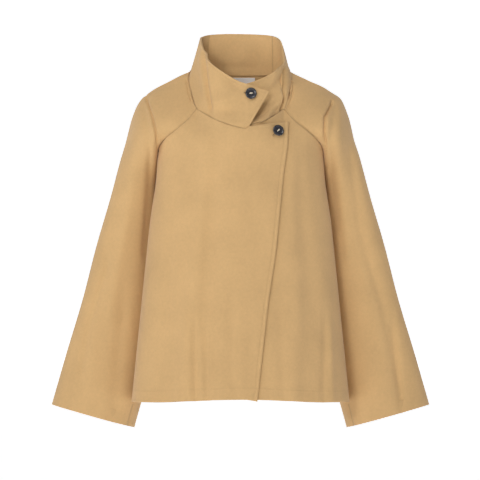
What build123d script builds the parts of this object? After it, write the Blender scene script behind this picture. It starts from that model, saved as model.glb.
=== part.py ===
"""Short swing jacket: raglan bell sleeves, lapped front, funnel collar with a buttoned flap.

Millimetres. X is across the shoulders, -Y is the front, +Z is up. The origin is the middle of
the neck opening, inside the neck seam, where the neck of a hanger or a wearer passes.
"right" and "left" are the wearer's: the right front (-X) laps over the left front (+X).
Every cloth piece is a closed solid of constant thickness, cut to its seam lines.
"""

import math
import os

from build123d import *

# ---- cloth -----------------------------------------------------------------------------------
CLOTH = 1.8             # face cloth, thickness
LINING = 1.4            # facings, thickness
LAYER_GAP = 0.5         # between a face cloth and the facing behind it
SEAM_GAP = 0.3          # between two pieces that meet at a seam
LAP_LIFT = 5.2          # how far the upper front stands off the lower front where they lap

# ---- body ------------------------------------------------------------------------------------
HEM_Z = -590.0
ARM_Z = -106.0          # level of the underarm
CHEST_HALF = 168.0      # half width at the underarm
HEM_HALF = 217.0        # half width at the hem
SIDE_Y_ARM = -2.0       # side seam, front to back position
SIDE_Y_HEM = -20.0
FRONT_Y_NECK = -88.0    # centre front at the neck seam
FRONT_Y_HEM = -137.0
FRONT_NECK_Z = -50.0
BACK_Y_ARM = 98.0
BACK_Y_HEM = 92.0
BACK_Y_NECK = 72.0
BACK_NECK_Z = 53.0
UNDERLAP_X = -20.0      # free edge of the left front, hidden under the right front
FOLD_X = 12.0           # vertical line about which the right front's lap turns back
HEM_TURN = 24.0         # depth of the turned hem
SIDE_TURN = 89.7        # degrees round to the side seam, short of 90 by the seam's gap

# ---- seam lines seen from the front, (x, z) -------------------------------------------------
RAGLAN_FRONT = [(87, -12), (107, -35), (128, -53), (149, -70), (163, -86), (CHEST_HALF, ARM_Z)]
RAGLAN_BACK = [(74, 56), (96, 20), (120, -15), (142, -48), (158, -78), (CHEST_HALF, ARM_Z)]
LAP_TOP = [(12, -50.5), (40, -45), (70, -40.5), (96.5, -37.5)]
LAP_EDGE = [(96.5, -37.5), (93.5, -86), (87, -134), (71, -294), (56, -394), (33.5, -595)]

# ---- sleeve, outer (over arm) and underarm lines, (x, y, z) ---------------------------------
OVER_ARM = [(105, 0, 53), (135, 6, 45), (170, 10, 29), (199, 13, 5), (215, 15, -27),
            (224, 18, -58), (240, 22, -112), (262, 28, -194), (289, 33, -286),
            (317, 38, -394), (347, 42, -500), (375, 46, -598)]
UNDER_ARM = [(177, 22, -150), (184, 37, -222), (188, 45, -310), (194, 49, -420),
             (202, 53, -535), (212, 56, -648)]
SLEEVE_DEPTH = [2, 10, 18, 28, 38, 46, 48, 47, 47, 49, 53, 58]
NECK_START = 0.004                  # share of the sleeve's length left open at the neck seam
SLEEVE_SEAM = 0.004                 # share of the way round left open at each sleeve seam
SHOULDER = (217.0, 16.0, -34.0)     # where the sleeve hinges, on the over arm line

# ---- collar ----------------------------------------------------------------------------------
COLLAR_LEAN = 0.2045                # how far the front leans back per mm of height
NECK_FRONT = [(0, -49), (30, -43), (57, -35), (87, -12), (97, 21)]
NECK_SIDE = [(105, 0, 53), (99, 32, 62), (76, 57, 57), (38, 70, 54), (0, 72, 53)]
TOP_LEFT = [(0, 37), (30, 44), (57, 55), (78, 67)]
TOP_LEFT_SIDE = [(88, -8, 84), (84, 17, 110), (79, 38, 128), (64, 52, 135), (32, 59, 137),
                 (0, 60, 137)]
TOP_RIGHT = [(0, 41), (-31, 57), (-60, 79)]
TOP_RIGHT_SIDE = [(-72, -22, 95), (-79, 0, 112), (-81, 18, 124), (-79, 40, 131), (-62, 54, 135),
                  (-31, 59, 137)]
FLAP_FOLD = [(11, -48.5), (-23, 53)]            # (x, z), bottom and top of the flap's fold
FLAP_EDGE = [(15.6, -45.5), (56, 21)]           # (x, z), free end of the flap
FLAP_TOP = [(-23, 53), (0, 42), (30, 31.5), (56, 21)]
COLLAR_UNDER_X = -15.0

# ---- buttons ---------------------------------------------------------------------------------
BUTTON_R = 11.5
BUTTON_T = 3.6
BUTTON_RIM = 1.6
EYE_SPACING = 4.4
EYE_R = 0.9
THREAD_R = 0.7
SHANK_R = 1.5
TOP_BUTTON = (20.0, 16.0)
LOW_BUTTON = (73.0, -59.0)
PATCH_R = 14.5          # round area of cloth about a buttonhole that gives when it is undone
PATCH_SHIFT = 1.4
HOLE_LEN = 25.0
HOLE_W = 3.6


def mix(a, b, t):
    return a + (b - a) * t


def ease(t):
    t = min(max(t, 0.0), 1.0)
    return t * t * (3 - 2 * t)


def along(points, t):
    """Catmull-Rom curve through the points, t from 0 at the first to 1 at the last."""
    n = len(points) - 1
    s = min(max(t, 0.0), 1.0) * n
    i = min(int(s), n - 1)
    f = s - i
    p1 = points[i]
    p2 = points[i + 1]
    p0 = points[i - 1] if i > 0 else [2 * a - b for a, b in zip(p1, p2)]
    p3 = points[i + 2] if i + 2 <= n else [2 * b - a for a, b in zip(p1, p2)]
    out = []
    for a, b, c, d in zip(p0, p1, p2, p3):
        out.append(0.5 * (2 * b + (c - a) * f + (2 * a - 5 * b + 4 * c - d) * f * f
                          + (3 * b - a - 3 * c + d) * f ** 3))
    return tuple(out)


def body_level(z):
    """0 at the underarm and above, 1 at the hem."""
    return max(0.0, (ARM_Z - z) / (ARM_Z - HEM_Z))


def half_width(z):
    return mix(CHEST_HALF, HEM_HALF, body_level(z))


def side_y(z):
    return mix(SIDE_Y_ARM, SIDE_Y_HEM, body_level(z))


def centre_front_y(z):
    return mix(FRONT_Y_NECK, FRONT_Y_HEM, (FRONT_NECK_Z - z) / (FRONT_NECK_Z - HEM_Z))


def centre_back_y(z):
    if z < ARM_Z:
        return mix(BACK_Y_ARM, BACK_Y_HEM, body_level(z))
    rise = (z - ARM_Z) / (BACK_NECK_Z - ARM_Z)
    return BACK_Y_ARM - (BACK_Y_ARM - BACK_Y_NECK) * rise * rise


def collar_front_y(x, z):
    """Front of the collar: leans back as it rises and curves round the neck."""
    return FRONT_Y_NECK + (z - FRONT_NECK_Z) * COLLAR_LEAN + 0.003 * x * x + 2.5e-7 * x ** 4


def front_y(x, z):
    """Outer face of the body's front; it eases into the collar's curve toward the neck."""
    across = math.sqrt(max(0.0, 1 - (x / half_width(z)) ** 2))
    chest = side_y(z) + (centre_front_y(z) - side_y(z)) * across
    neck_x, shoulder_z = RAGLAN_FRONT[0]
    reach = min(abs(x), neck_x)
    neck_z = mix(FRONT_NECK_Z, shoulder_z, (reach / neck_x) ** 2)
    rise = ease((z - ARM_Z) / (neck_z - ARM_Z)) ** 2
    return mix(chest, collar_front_y(reach, z), rise)


def back_y(x, z):
    across = math.sqrt(max(0.0, 1 - (x / half_width(z)) ** 2))
    return side_y(z) + (centre_back_y(z) - side_y(z)) * across


def lap_lift(x):
    """The right front climbs from the body line on to the left front it covers."""
    return LAP_LIFT * ease((x + 70) / 44)


def skin(fn, nu, nv, inward=0.0):
    """Face through a grid of points of fn(u, v), moved inward along the surface normal."""
    rows = []
    d = 1e-3
    for i in range(nu):
        row = []
        for j in range(nv):
            u = i / (nu - 1)
            v = j / (nv - 1)
            p = Vector(*fn(u, v))
            u0, u1 = max(0, u - d), min(1, u + d)
            v0, v1 = max(0, v - d), min(1, v + d)
            du = Vector(*fn(u1, v)) - Vector(*fn(u0, v))
            dv = Vector(*fn(u, v1)) - Vector(*fn(u, v0))
            row.append(p - du.cross(dv).normalized() * inward)
        rows.append(row)
    return Face.make_surface_from_array_of_points(rows, tol=0.05, min_deg=3, max_deg=3)


def front_sheet(lifted, z_low=HEM_Z, z_high=4.0):
    def fn(u, v):
        z = mix(z_low, z_high, v)
        x = half_width(z) * math.sin(math.radians(mix(-SIDE_TURN, SIDE_TURN, u)))
        return x, front_y(x, z) - (lap_lift(x) if lifted else 0), z
    return fn


def back_sheet(z_low=HEM_Z, z_high=60.0):
    def fn(u, v):
        z = mix(z_low, z_high, v)
        x = half_width(z) * math.sin(math.radians(mix(SIDE_TURN, -SIDE_TURN, u)))
        return x, back_y(x, z), z
    return fn


def sleeve_sheet(front, from_v=0.0, to_v=1.0):
    """Left sleeve half: u runs from the over arm line to the raglan and underarm lines."""
    seam = []
    for x, z in RAGLAN_FRONT[:-1] if front else RAGLAN_BACK[:-1]:
        seam.append((x, front_y(x, z) if front else back_y(x, z), z))
    inner = seam + [(CHEST_HALF + 3, SIDE_Y_ARM, ARM_Z + 2)] + UNDER_ARM
    side = -1 if front else 1

    def fn(u, v):
        u = mix(SLEEVE_SEAM, 1 - SLEEVE_SEAM, u)
        v = mix(from_v, to_v, v)
        top = Vector(*along(OVER_ARM, v))
        low = Vector(*along(inner, v))
        depth = along([(d,) for d in SLEEVE_DEPTH], v)[0]
        tube = ease(v * 11 / 5)
        across = mix(u, (1 - math.cos(math.pi * u)) / 2, tube)
        out = Vector(mix(0.55, 0.0, tube), side * mix(0.65, 1.0, tube), mix(0.5, 0.0, tube))
        p = top + (low - top) * across + out.normalized() * (depth * math.sin(math.pi * u))
        return p.X, p.Y, p.Z
    if front:
        return lambda u, v: fn(1 - u, 1 - v)
    return lambda u, v: fn(u, 1 - v)


def neck_line():
    """Neck seam as a list of points from centre back round the left side to centre front."""
    front = [(x, collar_front_y(x, z), z) for x, z in NECK_FRONT]
    return list(reversed(front + NECK_SIDE))


def top_line(left):
    pairs = TOP_LEFT if left else TOP_RIGHT
    front = [(x, collar_front_y(x, z), z) for x, z in pairs]
    if left:
        return list(reversed(front + TOP_LEFT_SIDE))
    return list(reversed(front + TOP_RIGHT_SIDE + [(0, 60, 137)]))


def collar_sheet(left, lifted, t0, t1):
    """Collar wall from the neck seam to the top edge; t is 0 at centre back, 1 at centre front."""
    low = neck_line()
    if not left:
        low = [(-x, y, z) for x, y, z in low]
    high = top_line(left)
    sign = 1 if left else -1

    def fn(u, v):
        t = mix(t0, t1, u)
        height = mix(0.006, 1.0, v)
        a = along(low, t)
        b = along(high, t)
        x, y, z = (mix(p, q, height) for p, q in zip(a, b))
        if t > 1:
            x = -sign * (t - 1) * 150
            z = mix(low[-1][2], high[-1][2], height)
            y = collar_front_y(x, z)
        return x, y - (lap_lift(x) if lifted else 0), z
    if left:
        return lambda u, v: fn(1 - u, v)
    return fn


def flap_sheet(x_low, x_high):
    def fn(u, v):
        x = mix(x_low, x_high, u)
        z = mix(-60, 75, v)
        return x, collar_front_y(x, z) - LAP_LIFT, z
    return fn


def offset_line(points, dx, dz):
    return [(x + dx, z + dz) for x, z in points]


def spot(centre, outward, on_collar):
    """Plane on the cloth at (x, z), facing out, moved outward by a distance."""
    x, z = centre
    surface = collar_front_y if on_collar else front_y
    y = surface(x, z)
    slope_x = (surface(x + 1, z) - surface(x - 1, z)) / 2
    slope_z = (surface(x, z + 1) - surface(x, z - 1)) / 2
    normal = Vector(slope_x, -1, slope_z).normalized()
    return Plane(Vector(x, y, z) + normal * outward, x_dir=(1, slope_x, 0), z_dir=normal)


def mirrored(points):
    return [(-x, z) for x, z in reversed(points)]


def neck_seam():
    """Front part of the neck seam of the left side, centre front to the raglan seam, (x, z)."""
    line = neck_line()
    steps = 6
    return [along(line, mix(1, 6 / 9, i / steps))[::2] for i in range(steps + 1)]


def lowered(points, drop):
    return [(x, z - drop) for x, z in points]


os.makedirs("parts", exist_ok=True)
pieces = {}


def keep_part(part, name):
    """Names a finished piece and lists it for export."""
    part.label = name
    pieces[name] = part


def keep(builder, name):
    keep_part(builder.part, name)


WIDE = 240.0            # beyond any side of the body
UNDER_Z = ARM_Z - 1.3   # where the panels' seam lines run out past the side seam
BELOW = HEM_Z - 5       # below the hem, where outlines close


def front_outline(free_x, inset=0.0, low=BELOW):
    """Outline of the left front: free edge, neck seam, raglan seam, then out past the side."""
    top = [(free_x, -49.3 - inset)] + lowered([p for p in neck_seam() if p[0] > free_x + 8],
                                             SEAM_GAP + inset)
    with BuildSketch(Plane.XZ) as outline:
        with BuildLine():
            neck = Spline(*top)
            raglan = Spline(neck @ 1, *RAGLAN_FRONT[1:-1], (CHEST_HALF + 1, UNDER_Z))
            Polyline(raglan @ 1, (WIDE, UNDER_Z), (WIDE, low), (free_x, low), neck @ 0)
        make_face()
    return outline.sketch


def strip_outline(points):
    with BuildSketch(Plane.XZ) as outline:
        with BuildLine():
            Polyline(*points, close=True)
        make_face()
    return outline.sketch


def lap_outline(inset=0.0):
    """Outline of the lap: fold line, finished top edge, slanting free edge, hem."""
    x0 = FOLD_X + inset
    with BuildSketch(Plane.XZ) as outline:
        with BuildLine():
            top = Spline(*[(x, z - inset) for x, z in [(x0, LAP_TOP[0][1])] + LAP_TOP[1:-1]],
                         (LAP_TOP[-1][0] - inset, LAP_TOP[-1][1] - inset))
            edge = Spline(top @ 1, *[(x - inset, z) for x, z in LAP_EDGE[1:]])
            Polyline(edge @ 1, (x0, BELOW), top @ 0)
        make_face()
    return outline.sketch


def button_spot(outward, on_collar):
    return spot(TOP_BUTTON if on_collar else LOW_BUTTON, outward, on_collar)


HOLE_ANGLE = {True: 180.0, False: 219.0}    # which way the buttonhole runs from the button


def patch_spot(outward, on_collar):
    plane = button_spot(outward, on_collar)
    angle = math.radians(HOLE_ANGLE[on_collar])
    plane.origin = plane.from_local_coords(
        Vector(PATCH_SHIFT * math.cos(angle), PATCH_SHIFT * math.sin(angle), 0))
    return plane


def window(on_collar, radius):
    """Cylinder across the lapped layers, about a buttonhole."""
    with BuildPart(patch_spot(-3, on_collar)) as tool:
        Cylinder(radius, 24, align=(Align.CENTER, Align.CENTER, Align.CENTER))
    return tool.part


# ---- left front: lies underneath, from the side seam past centre front -----------------------
with BuildPart() as left_front_panel:
    thicken(skin(front_sheet(False), 25, 15), amount=-CLOTH)
    extrude(front_outline(UNDERLAP_X), amount=200, both=True, mode=Mode.INTERSECT)
keep(left_front_panel, "left_front_panel")

# ---- right front: from the side seam to the fold of its lap -----------------------------------
with BuildPart() as right_front_panel:
    thicken(skin(front_sheet(True), 33, 15), amount=-CLOTH)
    extrude(mirror(front_outline(-FOLD_X + SEAM_GAP), about=Plane.YZ), amount=200, both=True,
            mode=Mode.INTERSECT)
keep(right_front_panel, "right_front_panel")

# ---- right front lap: the part that turns back, with a clear window about its buttonhole ------
with BuildPart() as right_front_lap:
    thicken(skin(front_sheet(True), 33, 15), amount=-CLOTH)
    extrude(lap_outline(), amount=200, both=True, mode=Mode.INTERSECT)
    add(window(False, PATCH_R), mode=Mode.SUBTRACT)
keep(right_front_lap, "right_front_lap")

with BuildPart() as lap_facing:
    thicken(skin(front_sheet(True), 33, 15, CLOTH + LAYER_GAP), amount=-LINING)
    extrude(lap_outline(1.0), amount=200, both=True, mode=Mode.INTERSECT)
    add(window(False, PATCH_R), mode=Mode.SUBTRACT)
keep(lap_facing, "lap_facing")

# ---- facings behind the fixed fronts -----------------------------------------------------------
with BuildPart() as right_front_facing:
    thicken(skin(front_sheet(True), 33, 15, CLOTH + LAYER_GAP), amount=-LINING)
    extrude(strip_outline([(-55, HEM_Z + 1), (FOLD_X - 1, HEM_Z + 1), (FOLD_X - 1, -54),
                           (-55, -42)]), amount=200, both=True, mode=Mode.INTERSECT)
keep(right_front_facing, "right_front_facing")

with BuildPart() as left_front_facing:
    thicken(skin(front_sheet(False), 25, 15, CLOTH + LAYER_GAP), amount=-LINING)
    extrude(strip_outline([(UNDERLAP_X + 1, HEM_Z + 1), (60, HEM_Z + 1), (60, -42),
                           (UNDERLAP_X + 1, -53)]), amount=200, both=True, mode=Mode.INTERSECT)
keep(left_front_facing, "left_front_facing")

# ---- back: one piece from side seam to side seam, under the neck seam ---------------------------
with BuildPart() as back_panel:
    thicken(skin(back_sheet(), 25, 17), amount=-CLOTH)
    with BuildSketch(Plane.XZ):
        with BuildLine():
            neck = Spline((-74, 56.5), (-38, 53.7), (0, 52.7), (38, 53.7), (74, 56.5))
            raglan = Spline(neck @ 1, *RAGLAN_BACK[1:-1], (CHEST_HALF + 1, UNDER_Z))
            Polyline(raglan @ 1, (WIDE, UNDER_Z), (WIDE, BELOW), (-WIDE, BELOW), (-WIDE, UNDER_Z),
                     (-CHEST_HALF - 1, UNDER_Z))
            Spline((-CHEST_HALF - 1, UNDER_Z), *mirrored(RAGLAN_BACK[1:-1]), neck @ 0)
        make_face()
    extrude(amount=200, both=True, mode=Mode.INTERSECT)
keep(back_panel, "back_panel")

with BuildPart() as back_neck_facing:
    thicken(skin(back_sheet(-30, 58), 21, 9, CLOTH + LAYER_GAP), amount=-LINING)
    with BuildSketch(Plane.XZ):
        with BuildLine():
            neck = Spline((-66, 51), (0, 49.5), (66, 51))
            Spline(neck @ 1, (58, 10), (0, -18), (-58, 10), neck @ 0)
        make_face()
    extrude(amount=200, both=True, mode=Mode.INTERSECT)
keep(back_neck_facing, "back_neck_facing")

# ---- sleeves: raglan halves, divided below the shoulder where they hinge ------------------------
# The cut runs from the hinge on the over arm line down to the underarm.
cut_from = (SHOULDER[0], SHOULDER[2])
cut_to = (CHEST_HALF + 3, ARM_Z - 2)


def arm_side(below, gap):
    """Outline of everything above, or below, the line from the shoulder to the underarm."""
    dx = cut_to[0] - cut_from[0]
    dz = cut_to[1] - cut_from[1]
    size = math.hypot(dx, dz)
    nx, nz = (-dz / size, dx / size) if not below else (dz / size, -dx / size)
    nx, nz = -nx, -nz
    a = (cut_from[0] - 8 * dx + nx * gap, cut_from[1] - 8 * dz + nz * gap)
    b = (cut_to[0] + 8 * dx + nx * gap, cut_to[1] + 8 * dz + nz * gap)
    reach = 900
    return strip_outline([a, b, (b[0] + nx * reach, b[1] + nz * reach),
                          (a[0] + nx * reach, a[1] + nz * reach)])


for face_name, front in (("front", True), ("back", False)):
    panel = left_front_panel if front else back_panel
    for zone, below in (("shoulder", False), ("sleeve", True)):
        with BuildPart() as half:
            thicken(skin(sleeve_sheet(front, NECK_START), 15, 27), amount=-CLOTH)
            extrude(arm_side(below, SEAM_GAP / 2), amount=300, both=True, mode=Mode.INTERSECT)
            if zone == "shoulder":
                add(panel.part, mode=Mode.SUBTRACT)
            if not front:
                add(pieces[f"left_{zone}_front"], mode=Mode.SUBTRACT)
        body = Part() + max(half.part.solids(), key=lambda solid: solid.volume)
        keep_part(body, f"left_{zone}_{face_name}")
        keep_part(mirror(body, about=Plane.YZ), f"right_{zone}_{face_name}")

# ---- turned hems --------------------------------------------------------------------------------
INNER = CLOTH + LAYER_GAP


def hem_band(sheet, x_low, x_high, name, nu=25):
    with BuildPart() as band:
        thicken(skin(sheet, nu, 4, INNER), amount=-LINING)
        extrude(strip_outline([(x_low, HEM_Z - 9), (x_high, HEM_Z - 9), (x_high, 60), (x_low, 60)]),
                amount=200, both=True, mode=Mode.INTERSECT)
    keep(band, name)


HEM_LINE = (HEM_Z + 0.5, HEM_Z + HEM_TURN)
hem_band(front_sheet(False, *HEM_LINE), 61, HEM_HALF - 12, "left_front_hem")
hem_band(front_sheet(True, *HEM_LINE), -HEM_HALF + 12, -56, "right_front_hem")
hem_band(back_sheet(*HEM_LINE), -HEM_HALF + 12, HEM_HALF - 12, "back_hem")

for face_name, front in (("front", True), ("back", False)):
    ring = sleeve_sheet(front, 0.958, 0.999)
    with BuildPart() as hem:
        thicken(skin(lambda u, v: ring(mix(0.08, 0.92, u), v), 15, 6, INNER + 0.4),
                amount=-LINING)
    keep_part(hem.part, f"left_sleeve_hem_{face_name}")
    keep_part(mirror(hem.part, about=Plane.YZ), f"right_sleeve_hem_{face_name}")

# ---- collar: outer wall in four pieces, the right front one running into the flap ----------------
SIDE_T = 2 / 9          # collar's side seams, as a share of the way from centre back


def collar_cut(points):
    with BuildSketch(Plane.XZ) as outline:
        with BuildLine():
            Polyline(*points, close=True)
        make_face()
    return outline.sketch


def fold_side(keep_x, gap, inset=0.0):
    """Outline on one side of the flap's fold, from below the neck to above the top edge."""
    (x0, z0), (x1, z1) = FLAP_FOLD
    dx = (x1 - x0) / (z1 - z0)
    low = (x0 + dx * (-90 - z0), -90)
    high = (x0 + dx * (160 - z0), 160)
    if keep_x < 0:
        return collar_cut([(low[0] - gap, low[1]), (high[0] - gap, high[1]), (-160, 160),
                           (-160, -90)])
    return collar_cut([(low[0] + gap, low[1]), (high[0] + gap, high[1]), (160, 160), (160, -90)])


def flap_outline(inset=0.0):
    with BuildSketch(Plane.XZ) as outline:
        with BuildLine():
            (x0, z0), *between, (x1, z1) = FLAP_TOP
            top = Spline((x0 + inset * 1.4, z0 - inset * 1.6),
                         *[(x, z - inset * 1.6) for x, z in between],
                         (x1 - inset * 1.6, z1 - inset * 0.6))
            low = (FLAP_EDGE[0][0] - inset * 0.3, FLAP_EDGE[0][1] + inset * 3)
            Polyline(top @ 1, low, (FLAP_FOLD[0][0] + inset * 0.5, FLAP_FOLD[0][1] + inset * 3),
                     top @ 0)
        make_face()
    return outline.sketch


def collar_wall(name, left, lifted, t0, t1, inward, thick, outline=None, nu=25):
    with BuildPart() as wall:
        thicken(skin(collar_sheet(left, lifted, t0, t1), nu, 9, inward), amount=-thick)
        if outline is not None:
            extrude(outline, amount=200, both=True, mode=Mode.INTERSECT)
    keep(wall, name)


def collar_back_sheet(reach):
    """Collar back, one sheet from side seam to side seam."""
    right = collar_sheet(False, False, 0, reach)
    left = collar_sheet(True, False, 0, reach)

    def fn(u, v):
        return left(2 * u, v) if u <= 0.5 else right(2 * u - 1, v)
    return fn


JOIN = 0.002
with BuildPart() as collar_back:
    thicken(skin(collar_back_sheet(SIDE_T - JOIN), 19, 9), amount=-CLOTH)
keep(collar_back, "collar_back")
with BuildPart() as inner_collar_back:
    thicken(skin(collar_back_sheet(SIDE_T - 0.02), 19, 9, INNER), amount=-LINING)
keep(inner_collar_back, "inner_collar_back")

collar_wall("collar_left", True, False, SIDE_T + JOIN, 1.1, 0, CLOTH)
collar_wall("inner_collar_left", True, False, SIDE_T + 0.02, 1.09, INNER, LINING)
collar_wall("collar_right", False, True, SIDE_T + JOIN, 1.16, 0, CLOTH, fold_side(-1, SEAM_GAP))
collar_wall("inner_collar_right", False, True, SIDE_T + 0.02, 1.16, INNER, LINING,
            fold_side(-1, 1.0))

# ---- collar flap: buttons across the throat, folds back about the slanting line -------------------
with BuildPart() as collar_flap:
    thicken(skin(flap_sheet(-45, 70), 17, 13), amount=-CLOTH)
    extrude(flap_outline(), amount=200, both=True, mode=Mode.INTERSECT)
    add(window(True, PATCH_R), mode=Mode.SUBTRACT)
keep(collar_flap, "collar_flap")
with BuildPart() as flap_facing:
    thicken(skin(flap_sheet(-45, 70), 17, 13, INNER), amount=-LINING)
    extrude(flap_outline(1.0), amount=200, both=True, mode=Mode.INTERSECT)
    add(window(True, PATCH_R), mode=Mode.SUBTRACT)
keep(flap_facing, "flap_facing")

# ---- buttonhole patches: the cloth round each buttonhole, both layers -----------------------------
for name, on_collar in (("top_buttonhole", True), ("front_buttonhole", False)):
    sheet = flap_sheet(-45, 70) if on_collar else front_sheet(True)
    with BuildPart() as patch:
        thicken(skin(sheet, 17 if on_collar else 33, 13 if on_collar else 15),
                amount=-(INNER + LINING))
        add(window(on_collar, PATCH_R - SEAM_GAP), mode=Mode.INTERSECT)
        with BuildSketch(patch_spot(-12, on_collar)):
            SlotOverall(HOLE_LEN, HOLE_W, rotation=HOLE_ANGLE[on_collar])
        extrude(amount=30, mode=Mode.SUBTRACT)
    keep(patch, name)

# ---- buttons: dished two-hole discs on a thread shank ---------------------------------------------
for name, on_collar in (("top_button", True), ("front_button", False)):
    face = button_spot(LAP_LIFT + 1.0, on_collar)
    with BuildPart() as button:
        with BuildSketch(face):
            Circle(BUTTON_R)
        extrude(amount=BUTTON_T)
        top_plane = face.offset(BUTTON_T)
        with BuildSketch(top_plane):
            Circle(BUTTON_R - BUTTON_RIM)
        extrude(amount=-0.9, taper=30, mode=Mode.SUBTRACT)
        with BuildSketch(face):
            with Locations((-EYE_SPACING / 2, 0), (EYE_SPACING / 2, 0)):
                Circle(EYE_R)
        extrude(amount=BUTTON_T, mode=Mode.SUBTRACT)
    keep(button, name)
    with BuildPart(face) as thread:
        shank = LAP_LIFT + 0.5
        with Locations((0, 0, -shank)):
            Cylinder(SHANK_R, shank - 0.1, align=(Align.CENTER, Align.CENTER, Align.MIN))
        with Locations((-EYE_SPACING / 2, 0, -0.6), (EYE_SPACING / 2, 0, -0.6)):
            Cylinder(THREAD_R, BUTTON_T + 0.8, align=(Align.CENTER, Align.CENTER, Align.MIN))
        for level in (-0.6, BUTTON_T - 0.8):
            with Locations((0, 0, level)):
                Box(EYE_SPACING, THREAD_R * 1.6, 0.5 if level < 0 else 1.2,
                    align=(Align.CENTER, Align.CENTER, Align.MIN))
    keep(thread, name + "_thread")

# ---- neck label: blank woven tab inside the back neck ----------------------------------------------
with BuildPart() as neck_label:
    thicken(skin(back_sheet(-4, 49), 21, 9, INNER + LINING + LAYER_GAP), amount=-0.8)
    extrude(strip_outline([(-29, 8), (29, 8), (29, 45), (-29, 45)]), amount=200, both=True,
            mode=Mode.INTERSECT)
keep(neck_label, "neck_label")

for name, part in pieces.items():
    export_step(part, f"parts/{name}.step")
    box = part.bounding_box()
    print(name, part.is_valid, round(part.volume), len(part.solids()),
          [round(v, 1) for v in (*box.min, *box.max)])
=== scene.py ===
"""Short tan swing jacket, hanging as if worn: sewn cloth panels, funnel collar, two buttons."""
import math

import bmesh
import bpy
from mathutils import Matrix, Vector, noise


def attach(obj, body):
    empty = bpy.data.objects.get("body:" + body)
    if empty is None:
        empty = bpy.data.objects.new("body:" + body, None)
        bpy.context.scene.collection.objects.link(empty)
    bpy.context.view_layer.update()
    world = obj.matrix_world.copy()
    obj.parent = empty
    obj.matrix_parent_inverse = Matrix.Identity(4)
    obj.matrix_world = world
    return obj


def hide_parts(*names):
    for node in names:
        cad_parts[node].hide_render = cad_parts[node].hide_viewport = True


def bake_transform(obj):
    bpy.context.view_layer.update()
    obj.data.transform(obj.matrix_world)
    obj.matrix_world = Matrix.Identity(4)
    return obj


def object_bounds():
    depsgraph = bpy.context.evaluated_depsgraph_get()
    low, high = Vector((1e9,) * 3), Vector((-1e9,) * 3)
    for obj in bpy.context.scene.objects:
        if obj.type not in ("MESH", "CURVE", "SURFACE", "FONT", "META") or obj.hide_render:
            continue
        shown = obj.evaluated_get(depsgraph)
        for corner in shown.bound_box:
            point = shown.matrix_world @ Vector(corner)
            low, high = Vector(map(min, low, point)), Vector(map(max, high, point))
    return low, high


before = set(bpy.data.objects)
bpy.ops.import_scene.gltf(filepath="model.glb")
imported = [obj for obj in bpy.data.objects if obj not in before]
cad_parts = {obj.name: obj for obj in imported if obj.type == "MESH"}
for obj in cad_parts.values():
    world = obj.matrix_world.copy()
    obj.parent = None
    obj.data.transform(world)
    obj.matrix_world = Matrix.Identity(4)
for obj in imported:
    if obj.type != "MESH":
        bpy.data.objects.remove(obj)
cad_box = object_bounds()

# ---- Studio: a pale floor that curves up into a backdrop, softboxes, a level long lens --------
# The jacket hangs clear of the floor. The strongest light is in front and to the viewer's left,
# with one above it, so the right-hand sleeve falls into soft shade.
FLOOR_BELOW = 0.25
SWEEP_WIDE, SWEEP_DEEP, SWEEP_NEAR = 70.0, 66.0, 19.0
SWEEP_FLAT, SWEEP_BEND = 38.0, 6.0
floor_z = cad_box[0][2] - FLOOR_BELOW
sweep = bmesh.new()
bmesh.ops.create_grid(sweep, x_segments=2, y_segments=120, size=0.5)
for vert in sweep.verts:
    run = (vert.co.y + 0.5) * SWEEP_DEEP
    turn = min(max((run - SWEEP_FLAT) / SWEEP_BEND, 0.0), 1.0) * math.pi / 2
    y = min(run, SWEEP_FLAT) + SWEEP_BEND * 2 / math.pi * math.sin(turn)
    z = SWEEP_BEND * 2 / math.pi * (1 - math.cos(turn)) + max(0.0, run - SWEEP_FLAT - SWEEP_BEND)
    vert.co = Vector((vert.co.x * SWEEP_WIDE, y - SWEEP_NEAR, floor_z + z))
mesh = bpy.data.meshes.new("studio_sweep")
sweep.to_mesh(mesh)
sweep.free()
mesh.polygons.foreach_set("use_smooth", [True] * len(mesh.polygons))
backdrop = bpy.data.objects.new("studio_sweep", mesh)
bpy.context.collection.objects.link(backdrop)
paper = bpy.data.materials.new("studio_paper")
paper.use_nodes = True
paper_shader = paper.node_tree.nodes["Principled BSDF"]
paper_shader.inputs["Base Color"].default_value = (0.93, 0.93, 0.93, 1)
paper_shader.inputs["Roughness"].default_value = 0.95
paper_shader.inputs["Specular IOR Level"].default_value = 0.1
paper_shader.inputs["Emission Color"].default_value = (1, 1, 1, 1)
paper_shader.inputs["Emission Strength"].default_value = 0.62
mesh.materials.append(paper)


def softbox(name, place, aim, size, watts, tint=(1, 1, 1)):
    """A square studio light at a place, turned toward a point."""
    light = bpy.data.lights.new(name, "AREA")
    light.shape = "SQUARE"
    light.size = size
    light.energy = watts
    light.color = tint
    holder = bpy.data.objects.new(name, light)
    holder.location = place
    holder.rotation_euler = (Vector(aim) - Vector(place)).to_track_quat("-Z", "Y").to_euler()
    bpy.context.collection.objects.link(holder)
    return holder


softbox("key", (-2.3, -2.0, 2.2), (0, 0, -0.25), 1.3, 17, (1.0, 0.985, 0.96))
softbox("fill", (2.6, -3.2, 0.4), (0, 0, -0.3), 2.4, 3, (0.96, 0.98, 1.0))
softbox("top", (-0.2, -1.6, 2.6), (0, 0, -0.2), 1.2, 22)
softbox("front", (-1.7, -4.7, 1.2), (0, 0, -0.1), 1.3, 64)

world = bpy.data.worlds.new("studio")
bpy.context.scene.world = world
world.use_nodes = True
world.node_tree.nodes["Background"].inputs["Color"].default_value = (1, 1, 1, 1)
world.node_tree.nodes["Background"].inputs["Strength"].default_value = 0.20

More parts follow.
